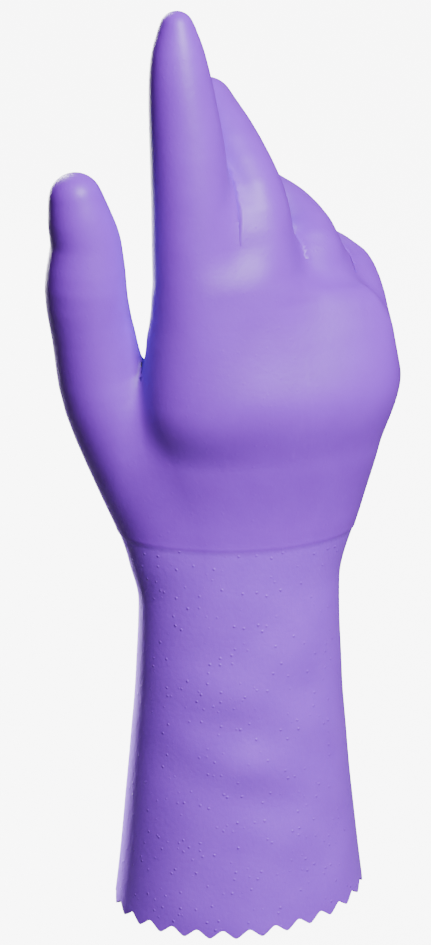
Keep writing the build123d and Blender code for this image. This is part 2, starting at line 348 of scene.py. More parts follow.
class Form:
    """The outside of the glove as a field in millimetres, hung from the frame's joints."""

    TIP_FILLET = 4.0
    WEB_FILLET = 15.0
    ROOT_FILLET = 24.0
    KNUCKLE_FILLET = 9.0
    THUMB_FILLET = 9.0
    WEB_FADE = 32.0
    ROOT_FADE = 16.0
    THUMB_WEB_RISE = 16.0
    THUMB_WEB_FADE = 14.0
    PALM_FADE = 0.16
    EDGE_SINK = 0.14
    COAT_RISE = 21.5
    COAT_HEIGHT = 0.25
    COAT_SLOPE = 1.2
    REACH = {"index": 11.0, "middle": 11.0, "ring": 10.5, "little": 10.0, "thumb": 8.0}
    BEND_BALL = {"index": 2, "middle": 2, "ring": 2, "little": 2, "thumb": 3}

    def __init__(self, joints: Sequence[dict]) -> None:
        """Args: joints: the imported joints, which give the wrist, the knuckles and each bend."""
        place = {joint["name"]: np.array(joint["pos_m"]) / MM for joint in joints}
        self.wrist = place["wrist_flex"]
        self.knuckles = place["knuckle_flex"]
        chains = dict(zip(FINGER_NAMES, (INDEX, MIDDLE, RING, LITTLE)))
        self.fingers = {name: Digit(name, place[f"{name}_flex"], chains[name]) for name in FINGER_NAMES}
        self.thumb = Digit("thumb", place["thumb_flex"], THUMB)
        self.coat_edge = self.wrist[2] + self.COAT_RISE
        digits = {**self.fingers, "thumb": self.thumb}
        self.starts = {name: self.bend_plane(digit, -1.0) for name, digit in digits.items()}
        self.ends = {name: self.bend_plane(digit, 1.0) for name, digit in digits.items()}
        self.ovals = np.array([[o.rise, o.x, o.y, o.half_width, o.half_depth] for o in OVALS])
        self.waves = Waves(seed=7)

    def sections(self, heights: Array) -> tuple[Array, Array, Array, Array]:
        """Args: heights: places along Z. Returns: centre x, centre y, half width and half depth there."""
        rise = heights - self.wrist[2]
        knots = self.ovals[:, 0]
        return tuple(monotone(knots, self.ovals[:, column], rise) for column in range(1, 5))

    def tube(self, points: Array) -> Array:
        """The cuff and palm.

        The field is how far the scaled radius is past one, over the length of its slope.

        Args:
            points: places in millimetres.

        Returns:
            The field there.
        """
        x, y, half_width, half_depth = self.sections(points[..., 2])
        across = points[..., 0] - x
        deep = points[..., 1] - y
        scaled = np.sqrt((across / half_width) ** 2 + (deep / half_depth) ** 2) + 1e-6
        slope = np.sqrt((across / half_width**2) ** 2 + (deep / half_depth**2) ** 2) / scaled + 1e-6
        level = (scaled - 1.0) / slope
        top = points[..., 2] - (self.wrist[2] + OVALS[-1].rise)
        return -soft_min(-level, -top, 6.0)

    def bend_plane(self, digit: Digit, side: float) -> Plane:
        """Args: digit. side: -1 for where it starts to bend, 1 for where it stops. Returns: that plane."""
        ball = self.BEND_BALL[digit.name]
        run = unit(digit.centres[ball + 1] - digit.centres[ball - 1])
        return Plane(tuple(digit.bend + run * self.REACH[digit.name] * side), tuple(run))

    def finger_fillet(self, first: str, second: str, points: Array) -> Array:
        """The reach of the fillet between two fingers, which is wide over the knuckles.

        Args:
            first: a finger.
            second: its neighbour.
            points: places in millimetres.

        Returns:
            The reach at each place.
        """
        past = np.maximum(self.starts[first].height(points), self.starts[second].height(points))
        free = (self.WEB_FILLET - self.TIP_FILLET) * smooth_step((self.WEB_FADE - past) / self.WEB_FADE)
        root = (self.ROOT_FILLET - self.WEB_FILLET) * smooth_step(-past / self.ROOT_FADE)
        return self.TIP_FILLET + free + root

    def thumb_fillet(self, points: Array) -> Array:
        """Args: points: places. Returns: the reach of the fillet between the thumb and the hand."""
        web = self.thumb.bend[2] + self.THUMB_WEB_RISE
        share = smooth_step((web - points[..., 2]) / self.THUMB_WEB_FADE)
        return 1.0 + (self.THUMB_FILLET - 1.0) * share

    def knuckle_part(self, points: Array) -> Array:
        """Args: points: places. Returns: the field of the cuff, palm and fingers, without the thumb."""
        fields = [self.fingers[name].field(points) for name in FINGER_NAMES]
        total = fields[0]
        for first, second, field in zip(FINGER_NAMES, FINGER_NAMES[1:], fields[1:]):
            total = soft_min(total, field, self.finger_fillet(first, second, points))
        return soft_min(self.tube(points), total, self.KNUCKLE_FILLET)

    def hand(self, points: Array) -> Array:
        """Args: points: places. Returns: the field of the whole glove, joined smoothly."""
        fillet = self.thumb_fillet(points)
        return soft_min(self.knuckle_part(points), self.thumb.field(points), fillet)

    def knuckles_alone(self, points: Array) -> Array:
        """The hand without the thumb, sunk a little where a finger's skin covers its edge.

        Args:
            points: places in millimetres.

        Returns:
            The field there.
        """
        sunk = np.zeros(points.shape[:-1])
        for first, second in zip(FINGER_NAMES, FINGER_NAMES[1:]):
            past = np.maximum(self.starts[first].height(points), self.starts[second].height(points))
            gap = self.fingers[first].field(points) - self.fingers[second].field(points)
            sunk = sunk + self.EDGE_SINK * smooth_step(past / 2.0) * np.exp(-((gap / 2.0) ** 2))
        return self.knuckles_plain(points) + sunk

    def knuckles_plain(self, points: Array) -> Array:
        """The hand without the thumb, with its half of the fillet between them.

        Args:
            points: places in millimetres.

        Returns:
            The field there.
        """
        hand = self.knuckle_part(points)
        return hand - fillet_height(hand, self.thumb.field(points), self.thumb_fillet(points))

    def thumb_alone(self, points: Array) -> Array:
        """The thumb without the hand, with its half of the fillet between them.

        Args:
            points: places in millimetres.

        Returns:
            The field there.
        """
        thumb = self.thumb.field(points)
        near = self.thumb_fillet(points)
        return thumb - fillet_height(thumb, self.knuckle_part(points), near)

    def finger_alone(self, name: str) -> Field:
        """A finger without its neighbours, with its half of the fillets between them.

        The palm fades out past the cut.

        Args:
            name: the finger.

        Returns:
            Its field.
        """
        place = FINGER_NAMES.index(name)
        others = [FINGER_NAMES[k] for k in (place - 1, place + 1) if 0 <= k < len(FINGER_NAMES)]
        start = self.starts[name]

        def field(points: Array) -> Array:
            chain = self.fingers[name].field(points)
            total = chain
            for other in others:
                near = self.finger_fillet(name, other, points)
                total = total - fillet_height(chain, self.fingers[other].field(points), near)
            past = np.clip(start.height(points), 0.0, None)
            palm = self.tube(points) + self.PALM_FADE * past * past
            return soft_min(palm, total, self.KNUCKLE_FILLET)

        return field

    def nearest_finger(self, points: Array) -> Array:
        """Args: points: places. Returns: the number of the finger that is nearest to each."""
        return np.stack([self.fingers[name].field(points) for name in FINGER_NAMES]).argmin(0)

    def on_thumb(self, points: Array) -> Array:
        """Args: points: places. Returns: 1 where the thumb is nearer than the rest, else 0."""
        return (self.thumb.field(points) < self.knuckle_part(points)).astype(int)

    def relief(self, points: Array) -> Array:
        """What stands out from the plain form: the second coat and the soft waves.

        Args:
            points: places in millimetres.

        Returns:
            The height there, in millimetres.
        """
        heights = points[..., 2]
        past = heights - self.coat_edge
        coat = smooth_step(past / self.COAT_SLOPE + 0.5)
        bead = 0.10 * np.exp(-((past - 0.8) ** 2) / 1.2)
        cuff = 1.0 - smooth_step((heights - self.wrist[2] + 20.0) / 40.0)
        cuff = cuff * np.clip(1.0 - (points[..., 0] / 37.0) ** 2, 0.0, 1.0)
        return self.COAT_HEIGHT * (coat - 1.0) + bead + self.waves.height(points, cuff)

    def shaped(self, base: Field) -> Field:
        """Args: base: a plain field. Returns: the field with the relief standing out of it."""
        return lambda points: base(points) - self.relief(points)


class Waves:
    """Soft unevenness: a sum of plane waves, longer across the glove than along it on the cuff."""

    COUNT = 10

    def __init__(self, seed: int) -> None:
        """Args: seed: what the directions and phases are drawn from."""
        draw = np.random.default_rng(seed)
        self.direction = draw.normal(size=(self.COUNT, 3))
        self.direction /= np.linalg.norm(self.direction, axis=1)[:, None]
        self.length = draw.uniform(10.0, 32.0, self.COUNT)
        self.phase = draw.uniform(0.0, 2 * math.pi, self.COUNT)

    def height(self, points: Array, cuff: Array) -> Array:
        """Args: points: places. cuff: 1 on the cuff, 0 on the hand. Returns: the height there."""
        total = np.zeros(points.shape[:-1])
        for direction, length, phase in zip(self.direction, self.length, self.phase):
            wave = points @ (direction * np.array([0.40, 0.40, 1.0]) * 2 * math.pi / length)
            total = total + np.sin(wave + phase)
        return total / self.COUNT * (0.10 + 1.7 * cuff)


# ---------------------------------------------------------------------------------------------
# Meshes
# ---------------------------------------------------------------------------------------------


def slope_of(field: Field, points: Array, step: float = 0.2) -> Array:
    """Args: field, points, step: half the span in millimetres. Returns: the field's slope, by differences."""
    shifts = np.eye(3) * step
    return np.stack([(field(points + s) - field(points - s)) / (2 * step) for s in shifts], -1)


def settle(field: Field, points: Array, depth: float, rounds: int = 3) -> Array:
    """Moves points along the field's slope to where the field is minus depth.

    Args:
        field: the field.
        points: places near the surface.
        depth: how far inside the surface they end.
        rounds: how many Newton steps are taken.

    Returns:
        The moved points.
    """
    for _ in range(rounds):
        slope = slope_of(field, points)
        size2 = np.maximum((slope * slope).sum(-1), 0.09)
        points = points - slope * ((field(points) + depth) / size2)[..., None]
    return points


@dataclass
class Skin:
    """A closed wall as arrays: corners in millimetres, four-sided faces and smooth normals."""

    points: Array
    faces: Array
    normals: Array
    rim_faces: Array

    def to_object(self, name: str, form: "Form") -> bpy.types.Object:
        """Args: name: the piece's name. form: gives the coat. Returns: the new mesh object, in metres."""
        mesh = bpy.data.meshes.new(name)
        triangles = self.faces[:, 2] == self.faces[:, 3]
        sizes = np.where(triangles, 3, 4)
        loops = self.faces[np.arange(4)[None, :] < sizes[:, None]]
        mesh.vertices.add(len(self.points))
        mesh.vertices.foreach_set("co", (self.points * MM).astype(np.float32).ravel())
        mesh.loops.add(len(loops))
        mesh.loops.foreach_set("vertex_index", loops.astype(np.int32))
        mesh.polygons.add(len(self.faces))
        starts = np.concatenate([[0], np.cumsum(sizes)[:-1]]).astype(np.int32)
        mesh.polygons.foreach_set("loop_start", starts)
        mesh.update(calc_edges=True)
        mesh.shade_smooth()
        polygon_normals = np.empty(len(self.faces) * 3, np.float32)
        mesh.polygons.foreach_get("normal", polygon_normals)
        owner = np.repeat(np.arange(len(self.faces)), sizes)
        split = self.normals[loops].astype(np.float32)
        on_rim = self.rim_faces[owner]
        split[on_rim] = polygon_normals.reshape(-1, 3)[owner[on_rim]]
        mesh.normals_split_custom_set(split.tolist())
        rest = mesh.attributes.new("rest_place", "FLOAT_VECTOR", "POINT")
        rest.data.foreach_set("vector", (self.points * MM).astype(np.float32).ravel())
        coat = mesh.attributes.new("coat", "FLOAT", "POINT")
        past = (self.points[:, 2] - form.coat_edge) / form.COAT_SLOPE + 0.5
        coat.data.foreach_set("value", smooth_step(past).astype(np.float32))
        obj = bpy.data.objects.new(name, mesh)
        bpy.context.scene.collection.objects.link(obj)
        return obj


def close_wall(outer: Array, inner: Array, faces: Array, normals: Array) -> Skin:
    """Joins an open sheet and its offset copy into a closed wall.

    The inner sheet has the same faces turned round, and each open edge of the outer sheet gets
    one face across to its copy.

    Args:
        outer: the outer corners.
        inner: the inner corners, in the same order.
        faces: the outer sheet's faces; a triangle repeats its third corner.
        normals: the outer corners' normals.

    Returns:
        The closed wall.
    """
    count = len(outer)
    nexts = np.roll(faces, -1, axis=1)
    edges = np.stack([faces.ravel(), nexts.ravel()], -1)
    edges = edges[edges[:, 0] != edges[:, 1]]
    key = edges.min(1).astype(np.int64) * count + edges.max(1)
    _, first, uses = np.unique(key, return_index=True, return_counts=True)
    border = edges[first[uses == 1]]
    rim = np.stack([border[:, 1], border[:, 0], border[:, 0] + count, border[:, 1] + count], -1)
    triangle = faces[:, 2] == faces[:, 3]
    turned = faces[:, ::-1].copy()
    turned[triangle] = faces[triangle][:, [2, 1, 0, 0]]
    every = np.concatenate([faces, turned + count, rim])
    rim_faces = np.zeros(len(every), bool)
    rim_faces[-len(rim):] = len(rim) > 0
    return Skin(np.concatenate([outer, inner]), every, np.concatenate([normals, -normals]), rim_faces)


def grid_faces(rows: int, columns: int) -> Array:
    """Args: rows, columns: a sheet's size, closed round its columns. Returns: its four-sided faces."""
    row = np.arange(rows - 1)[:, None] * columns
    column = np.arange(columns)[None, :]
    beside = (column + 1) % columns
    corners = [row + column, row + beside, row + columns + beside, row + columns + column]
    return np.stack(corners, -1).reshape(-1, 4)


class CuffBuilder:
    """The cuff: a flared tube whose lower edge is pinked into rounded teeth."""

    TEETH = 28
    COLUMNS_PER_TOOTH = 16
    DEPTH = 3.0
    SLANT = 4.0
    TOP_RISE = -16.0
    ROWS = 84

    def __init__(self, form: Form) -> None:
        """Args: form: the glove's form."""
        self.form = form

    def edge(self, turn: Array) -> Array:
        """The rim's height: a wave that rises to rounded notches and dips to blunt teeth.

        It is the tooth's depth times the smooth step of a straight zigzag.

        Args:
            turn: the share of the way round, in teeth.

        Returns:
            The height above the rim's plane, in millimetres.
        """
        zigzag = np.abs((turn % 1.0) * 2.0 - 1.0)
        ramp = np.clip((1.0 - zigzag - 0.07) / 0.86, 0.0, 1.0)
        eased = 0.72 * ramp + 0.28 * smooth_step(ramp)
        return self.DEPTH * eased

    def slant(self, turn: Array) -> Array:
        """Args: turn: angles round the rim. Returns: how much higher its edge is cut there."""
        return self.SLANT * 0.5 * (1.0 + np.cos(turn))

    def build(self, ply: Ply) -> Skin:
        """Args: ply: which ply. Returns: its closed wall."""
        columns = self.TEETH * self.COLUMNS_PER_TOOTH
        fine = 8 * columns
        angle = np.linspace(0, 2 * math.pi, fine, endpoint=False)
        x, y, half_width, half_depth = self.form.sections(np.zeros(1) + 0.001)
        outline = np.stack([half_width * np.cos(angle), half_depth * np.sin(angle)], -1)
        steps = np.linalg.norm(np.roll(outline, -1, axis=0) - outline, axis=1)
        travelled = np.concatenate([[0.0], np.cumsum(steps)])
        wanted = np.arange(columns) / columns * travelled[-1]
        turn = np.interp(wanted, travelled, np.append(angle, 2 * math.pi))
        base = self.edge(np.arange(columns) / self.COLUMNS_PER_TOOTH) + self.slant(turn)
        top = self.form.wrist[2] + self.TOP_RISE
        share = np.linspace(0.0, 1.0, self.ROWS) ** 1.25
        heights = base[None, :] * (1 - share[:, None]) ** 3 + top * share[:, None]
        flat = heights.ravel()
        x, y, half_width, half_depth = self.form.sections(flat)
        around = np.tile(turn, self.ROWS)
        ring = [x + half_width * np.cos(around), y + half_depth * np.sin(around), flat]
        points = np.stack(ring, -1)
        field = self.form.shaped(self.form.tube)
        normals = slope_of(field, points)
        normals /= np.linalg.norm(normals, axis=1)[:, None]
        level = np.concatenate([normals[:, :2], np.zeros((len(points), 1))], 1)
        outer = points - level * (field(points) + ply.outer)[:, None]
        outer = outer - level * (field(outer) + ply.outer)[:, None]
        inner = outer - level * (ply.inner - ply.outer)
        faces = outwards(outer, grid_faces(self.ROWS, columns), normals)
        return close_wall(outer, inner, faces, normals)


class DigitBuilder:
    """A length of a digit: rings round its centre line, open at the end or closed by a rounded tip."""

    COLUMNS = 76
    TIP_ROWS = 18
    SMOOTHING = 3
    SPACING = 1.1

    def __init__(self, field: Field, digit: Digit, start: Plane, end: Plane | None = None) -> None:
        """Takes the length between two cuts.

        Args:
            field: the surface's.
            digit: gives the centre line.
            start: the lower cut.
            end: the upper cut; without one the digit has a tip.
        """
        self.field = field
        self.digit = digit
        self.start = start
        self.end = end

    def rays(self) -> tuple[Array, Array, int]:
        """Returns: each corner's origin on the centre line and way outwards, and how many rings there are."""
        line, _ = self.digit.line(600)
        kept = self.start.height(line) > 0
        if self.end is not None:
            kept &= self.end.height(line) < 0
        line = line[int(np.argmax(kept)) : len(kept) - int(np.argmax(kept[::-1]))]
        steps = np.linalg.norm(np.diff(line, axis=0), axis=1)
        travelled = np.concatenate([[0.0], np.cumsum(steps)])
        rows = int(travelled[-1] / self.SPACING) + 2
        wanted = np.linspace(0.0, travelled[-1], rows)
        origin = np.stack([np.interp(wanted, travelled, line[:, k]) for k in range(3)], -1)
        tangent = np.gradient(origin, axis=0)
        tangent /= np.linalg.norm(tangent, axis=1)[:, None]
        facing = unit(self.start.facing)
        origin[0] -= self.start.height(origin[0]) * facing
        ease = smooth_step(wanted / (0.5 * travelled[-1]))[:, None]
        tangent = facing * (1 - ease) + tangent * ease
        if self.end is not None:
            last = unit(self.end.facing)
            origin[-1] -= self.end.height(origin[-1]) * last
            ease = smooth_step((wanted / travelled[-1] - 0.5) / 0.5)[:, None]
            tangent = tangent * (1 - ease) + last * ease
        tangent /= np.linalg.norm(tangent, axis=1)[:, None]
        side = np.cross(tangent, unit((0.15, 1.0, 0.35)))
        side /= np.linalg.norm(side, axis=1)[:, None]
        front = np.cross(tangent, side)
        angle = np.linspace(0, 2 * math.pi, self.COLUMNS, endpoint=False)
        cosine = np.cos(angle)[None, :, None]
        sine = np.sin(angle)[None, :, None]
        flat = side[:, None] * cosine + front[:, None] * sine
        origins = np.repeat(origin, self.COLUMNS, axis=0)
        if self.end is not None:
            return origins, flat.reshape(-1, 3), rows
        swing = (np.linspace(0, 1, self.TIP_ROWS + 1)[1:-1] * math.pi / 2)[:, None, None]
        crown = flat[-1][None] * np.cos(swing) + tangent[-1] * np.sin(swing)
        directions = np.concatenate([flat, crown]).reshape(-1, 3)
        tip = np.repeat(origin[-1:], (self.TIP_ROWS - 1) * self.COLUMNS + 1, axis=0)
        origins = np.concatenate([origins, tip])
        return origins, np.concatenate([directions, tangent[-1:]]), rows + self.TIP_ROWS - 1

    def reach(self, origins: Array, directions: Array, depth: float) -> Array:
        """Args: origins, directions: the rays. depth: in millimetres. Returns: where they meet that depth."""
        reach = np.full(len(origins), 8.0)
        for _ in range(16):
            reach = reach - (self.field(origins + directions * reach[:, None]) + depth)
        rings = reach[: len(reach) // self.COLUMNS * self.COLUMNS].reshape(-1, self.COLUMNS)
        for _ in range(self.SMOOTHING):
            rings[1:-1] = 0.5 * rings[1:-1] + 0.25 * (rings[:-2] + rings[2:])
        return origins + directions * reach[:, None]

    def build(self, ply: Ply) -> Skin:
        """Args: ply: which ply. Returns: its closed wall."""
        origins, directions, rings = self.rays()
        outer = self.reach(origins, directions, ply.outer)
        inner = self.reach(origins, directions, ply.inner)
        normals = slope_of(self.field, outer, 1.0)
        normals /= np.linalg.norm(normals, axis=1)[:, None]
        faces = grid_faces(rings, self.COLUMNS)
        if self.end is None:
            column = np.arange(self.COLUMNS)
            last = (rings - 1) * self.COLUMNS
            pole = np.full(self.COLUMNS, rings * self.COLUMNS)
            cap = np.stack([last + column, last + (column + 1) % self.COLUMNS, pole, pole], -1)
            faces = np.concatenate([faces, cap])
        return close_wall(outer, inner, outwards(outer, faces, normals), normals)


def outwards(points: Array, faces: Array, normals: Array) -> Array:
    """Args: points, faces: a sheet. normals: its corners'. Returns: its faces, turned the normals' way."""
    a, b, c = (points[faces[:, k]] for k in range(3))
    if (np.cross(b - a, c - a) * normals[faces[:, 0]]).sum() >= 0:
        return faces
    turned = faces[:, ::-1].copy()
    triangle = faces[:, 2] == faces[:, 3]
    turned[triangle] = faces[triangle][:, [1, 0, 2, 2]]
    return turned


# ---------------------------------------------------------------------------------------------
# The hand, which has no simple grid: it is taken off a field
# ---------------------------------------------------------------------------------------------


class FieldMesher:
    """Turns a field into a four-sided mesh: a coarse pass finds the surface, a fine one meshes it."""

    COARSE = 4.0

    def __init__(self, field: Field, low: Array, high: Array, spacing: float) -> None:
        """Args: field, low, high: the corners of the space, spacing: the mesh's, all in millimetres."""
        self.field = field
        self.low = low
        self.spacing = spacing
        self.counts = np.ceil((high - low) / self.COARSE).astype(int)

    def values(self) -> Array:
        """Returns: the field on the fine grid, measured only near the surface."""
        each = int(round(self.COARSE / self.spacing))
        step = self.COARSE / each
        axes = [self.low[k] + (np.arange(self.counts[k]) + 0.5) * self.COARSE for k in range(3)]
        centres = np.stack(np.meshgrid(*axes, indexing="ij"), -1)
        coarse = self.field(centres.reshape(-1, 3)).reshape(self.counts)
        fine = np.repeat(np.repeat(np.repeat(coarse, each, 0), each, 1), each, 2).astype(np.float32)
        near = np.argwhere(np.abs(coarse) < self.COARSE * 1.6)
        inside = (np.arange(each) + 0.5) * step
        cell = np.stack(np.meshgrid(inside, inside, inside, indexing="ij"), -1).reshape(-1, 3)
        for chunk in np.array_split(near, max(1, len(near) // 3000)):
            corner = self.low + chunk * self.COARSE
            got = self.field((corner[:, None] + cell[None]).reshape(-1, 3)).reshape(-1, each, each, each)
            for (i, j, k), block in zip(chunk * each, got):
                fine[i : i + each, j : j + each, k : k + each] = block
        self.step = step
        return fine

    def mesh(self) -> tuple[Array, Array]:
        """Returns: the corners in millimetres and the faces, pointing outwards."""
        fine = self.values()
        grid = openvdb.FloatGrid(float(self.COARSE))
        grid.copyFromArray(fine)
        points, quads = grid.convertToQuads(0.0)
        points = self.low + (points.astype(float) + 0.5) * self.step
        quads = quads.astype(int)
        a, b, c = (points[quads[:, k]] for k in (0, 1, 2))
        facing = np.cross(b - a, c - a)
        slope = slope_of(self.field, (a + c) / 2)
        if (facing * slope).sum() < 0:
            quads = quads[:, ::-1].copy()
        return points, quads


def relax(points: Array, faces: Array, rounds: int) -> Array:
    """Evens out a mesh: each corner moves halfway to the mean of its neighbours, a few times.

    Args:
        points: the corners.
        faces: the four-sided faces.
        rounds: how often the corners move.

    Returns:
        The moved corners.
    """
    edges = np.stack([faces.ravel(), np.roll(faces, -1, axis=1).ravel()], -1)
    both = np.concatenate([edges, edges[:, ::-1]])
    degree = np.bincount(both[:, 0], minlength=len(points))[:, None]
    for _ in range(rounds):
        total = np.stack([np.bincount(both[:, 0], points[both[:, 1], k], len(points)) for k in range(3)], -1)
        points = 0.5 * points + 0.5 * total / np.maximum(degree, 1)
    return points


@dataclass(frozen=True)
class Cut:
    """A plane that faces what is taken away, and the owner of the faces it may take, or every face."""

    plane: Plane
    owner: int | None = None


def cut_sheet(points: Array, faces: Array, owners: Array, cuts: Sequence[Cut]) -> tuple[Array, Array]:
    """Keeps the part of a closed mesh that lies behind its cuts, with clean edges along them.

    Args:
        points: the corners.
        faces: the four-sided faces.
        owners: a number for each face.
        cuts: the cuts.

    Returns:
        The corners and faces that stay; a triangle repeats its third corner.
    """
    mesh = bpy.data.meshes.new("cut")
    mesh.from_pydata(points.tolist(), [], faces.tolist())
    work = bmesh.new()
    work.from_mesh(mesh)
    bpy.data.meshes.remove(mesh)
    layer = work.faces.layers.int.new("owner")
    for face, owner in zip(work.faces, owners.tolist()):
        face[layer] = owner
    for cut in cuts:
        place = Vector(cut.plane.point)
        facing = Vector(unit(cut.plane.facing))
        near = [f for f in work.faces if cut.owner is None or f[layer] == cut.owner]
        crossed = [f for f in near if abs((f.calc_center_median() - place).dot(facing)) < 3.0]
        edges = {edge for face in crossed for edge in face.edges}
        verts = {vert for face in crossed for vert in face.verts}
        geometry = [*verts, *edges, *crossed]
        bmesh.ops.bisect_plane(work, geom=geometry, dist=0.02, plane_co=place, plane_no=facing)
        beyond = [
            f
            for f in work.faces
            if (cut.owner is None or f[layer] == cut.owner)
            and (f.calc_center_median() - place).dot(facing) > 1e-3
        ]
        bmesh.ops.delete(work, geom=beyond, context="FACES")
    long = [face for face in work.faces if len(face.verts) > 4]
    bmesh.ops.triangulate(work, faces=long)
    keep_largest(work)
    work.verts.index_update()
    corners = np.array([v.co[:] for v in work.verts])
    kept = [[v.index for v in face.verts] for face in work.faces]
    work.free()
    padded = [f if len(f) == 4 else [f[0], f[1], f[2], f[2]] for f in kept]
    return corners, np.array(padded)


def keep_largest(work: bmesh.types.BMesh) -> None:
    """Args: work: a mesh, of which every part but the largest is taken away."""
    unseen = set(work.verts)
    groups = []
    while unseen:
        group = {unseen.pop()}
        edge_of = list(group)
        while edge_of:
            vert = edge_of.pop()
            for edge in vert.link_edges:
                other = edge.other_vert(vert)
                if other in unseen:
                    unseen.discard(other)
                    group.add(other)
                    edge_of.append(other)
        groups.append(group)
    groups.sort(key=len)
    spare = [vert for group in groups[:-1] for vert in group]
    bmesh.ops.delete(work, geom=spare, context="VERTS")


class SheetBuilder:
    """A skin with no simple grid, such as the palm: it is taken off a field and cut to its edges."""

    SPACING = {Ply.COATS: 1.0, Ply.LINER: 2.0}

    def __init__(
        self,
        field: Field,
        owner: Field,
        low: Point,
        high: Point,
        cuts: Sequence[Cut],
        facing: Field | None = None,
    ) -> None:
        """Lays out the space to search.

        Args:
            field: the surface's.
            owner: numbers a place.
            low, high: the space in millimetres.
            cuts: where the skin ends.
            facing: the field whose slope is the skin's normals, if it isn't the surface's own.
        """
        self.field = field
        self.facing = facing or field
        self.owner = owner
        self.low = np.array(low)
        self.high = np.array(high)
        self.cuts = cuts

    def build(self, ply: Ply) -> Skin:
        """Args: ply: which ply. Returns: its closed wall."""
        mesher = FieldMesher(self.field, self.low, self.high, self.SPACING[ply])
        points, quads = mesher.mesh()
        points = relax(points, quads, 2)
        points = settle(self.field, points, ply.outer, 2)
        owners = self.owner(points[quads].mean(1))
        corners, faces = cut_sheet(points, quads, owners, self.cuts)
        slope = slope_of(self.facing, corners, 0.7)
        normals = slope / np.maximum(np.linalg.norm(slope, axis=1), 1e-6)[:, None]
        inner = corners - normals * (ply.inner - ply.outer)
        return close_wall(corners, inner, outwards(corners, faces, normals), normals)


# ---------------------------------------------------------------------------------------------
# Finishes
# ---------------------------------------------------------------------------------------------


class Term:
    """A value inside a material, so that its formulas read as they are written."""

    def __init__(self, paint: "Paint", socket: bpy.types.NodeSocket) -> None:
        """Args: paint: the material being made. socket: the output that gives the value."""
        self.paint = paint
        self.socket = socket

    def __add__(self, other: "Term | float") -> "Term":
        return self.paint.math("ADD", self, other)

    def __sub__(self, other: "Term | float") -> "Term":
        return self.paint.math("SUBTRACT", self, other)

    def __rsub__(self, other: float) -> "Term":
        return self.paint.math("SUBTRACT", other, self)

    def __mul__(self, other: "Term | float") -> "Term":
        return self.paint.math("MULTIPLY", self, other)

    def __truediv__(self, other: "Term | float") -> "Term":
        return self.paint.math("DIVIDE", self, other)

    __radd__ = __add__
    __rmul__ = __mul__


class Paint:
    """A material that is being put together. A mix node's colour sockets are known by number."""

    MIX_COLOURS = (0, 6, 7)

    def __init__(self, name: str) -> None:
        """Args: name: the material's name."""
        self.material = bpy.data.materials.new(name)
        self.material.use_nodes = True
        self.tree = self.material.node_tree
        self.tree.nodes.clear()

    def put(self, kind: str, settings: dict, inputs: dict) -> bpy.types.Node:
        """Adds a node.

        Args:
            kind: its type.
            settings: its own properties.
            inputs: what each input gets, by name or number: a Term or a constant.

        Returns:
            The node.
        """
        node = self.tree.nodes.new(kind)
        for key, value in settings.items():
            setattr(node, key, value)
        for key, value in inputs.items():
            if isinstance(value, Term):
                self.tree.links.new(value.socket, node.inputs[key])
            else:
                node.inputs[key].default_value = value
        return node

    def math(self, operation: str, *values: "Term | float", clamp: bool = False) -> Term:
        """Args: operation, values, clamp: a math node's. Returns: its result."""
        settings = {"operation": operation, "use_clamp": clamp}
        node = self.put("ShaderNodeMath", settings, dict(enumerate(values)))
        return Term(self, node.outputs[0])

    def attribute(self, name: str, output: str) -> Term:
        """Args: name: a mesh attribute. output: which output. Returns: its value."""
        node = self.put("ShaderNodeAttribute", {"attribute_name": name}, {})
        return Term(self, node.outputs[output])

    def split(self, vector: Term) -> tuple[Term, Term, Term]:
        """Args: vector: a place. Returns: its three parts."""
        node = self.put("ShaderNodeSeparateXYZ", {}, {0: vector})
        return tuple(Term(self, socket) for socket in node.outputs)

    def noise(self, vector: Term, size: float, detail: float = 2.0) -> Term:
        """Args: vector: a place in metres. size: in millimetres. detail. Returns: a soft random value."""
        inputs = {"Vector": vector, "Scale": 1.0 / (size * MM), "Detail": detail}
        return Term(self, self.put("ShaderNodeTexNoise", {}, inputs).outputs[0])

    def pimples(self, vector: Term, size: float, share: float) -> Term:
        """Small round bumps, one in each random cell.

        Args:
            vector: a place in metres.
            size: how far apart they are, in millimetres.
            share: their radius as a share of that.

        Returns:
            1 in the middle of a bump, 0 beyond it.
        """
        inputs = {"Vector": vector, "Scale": 1.0 / (size * MM), "Randomness": 0.9}
        gap = Term(self, self.put("ShaderNodeTexVoronoi", {}, inputs).outputs["Distance"])
        cone = self.math("SUBTRACT", 1.0, gap / share, clamp=True)
        return cone * cone * (3.0 - 2.0 * cone)

    def mixed(self, share: Term, low: "Term | Point", high: "Term | Point") -> Term:
        """Args: share: 0 to 1. low, high: colours. Returns: the colour between them."""
        ends = [end if isinstance(end, Term) else (*end, 1.0) for end in (low, high)]
        inputs = dict(zip(self.MIX_COLOURS, (share, *ends)))
        node = self.put("ShaderNodeMix", {"data_type": "RGBA"}, inputs)
        return Term(self, node.outputs[2])

    def bump(self, height: Term, distance: float, strength: float = 1.0) -> Term:
        """Args: height: 0 to 1. distance: that height in millimetres. strength. Returns: the normal."""
        inputs = {"Height": height, "Distance": distance * MM, "Strength": strength}
        return Term(self, self.put("ShaderNodeBump", {}, inputs).outputs["Normal"])

    def surface(self, inputs: dict) -> bpy.types.Material:
        """Args: inputs: the surface shader's. Returns: the finished material."""
        shader = self.put("ShaderNodeBsdfPrincipled", {}, inputs)
        output = self.tree.nodes.new("ShaderNodeOutputMaterial")
        self.tree.links.new(shader.outputs[0], output.inputs["Surface"])
        return self.material


def linear(red: int, green: int, blue: int) -> Point:
    """Args: red, green, blue: a display colour, 0 to 255. Returns: the same colour as light."""
    shares = (red / 255, green / 255, blue / 255)
    return tuple(s / 12.92 if s <= 0.04045 else ((s + 0.055) / 1.055) ** 2.4 for s in shares)


